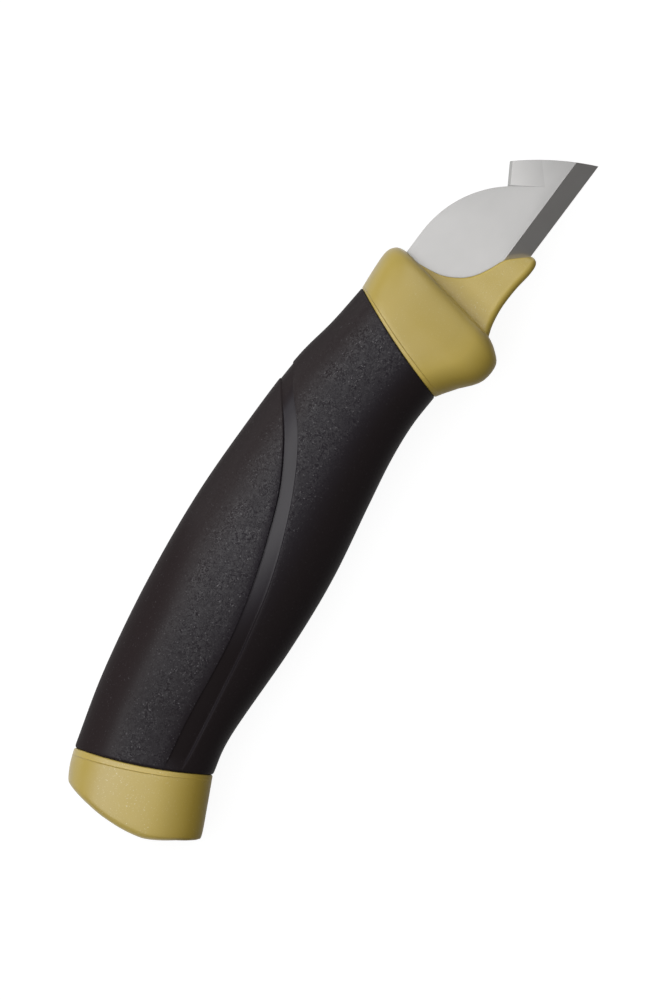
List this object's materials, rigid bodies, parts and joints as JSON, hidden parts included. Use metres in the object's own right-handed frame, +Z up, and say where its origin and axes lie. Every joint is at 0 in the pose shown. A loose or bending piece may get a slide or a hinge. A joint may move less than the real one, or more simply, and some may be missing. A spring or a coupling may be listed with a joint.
{
  "type": "electrician's knife",
  "caption": "Fixed-blade electrician's knife: short notched stub blade in a hard olive core with a lug and finger guard, under a textured black rubber grip.",
  "frame": {"origin": "on the surface that the knife lies on, under the middle of its box, with the knife lying on its side", "axes": "+X along the cutting edge towards the tip, +Y from the cutting edge towards the spine, +Z up, across the blade's thickness"},
  "size_m": [0.16, 0.0418, 0.0236],
  "materials": {
    "blade_steel": "satin, ground bevels",
    "olive_plastic": "fine spark texture",
    "black_rubber": "coarse spark texture, smooth groove"
  },
  "bodies": {
    "root": {"blade": "blade_steel", "handle_core": "olive_plastic", "rubber_grip": "black_rubber"}
  },
  "joints": []
}
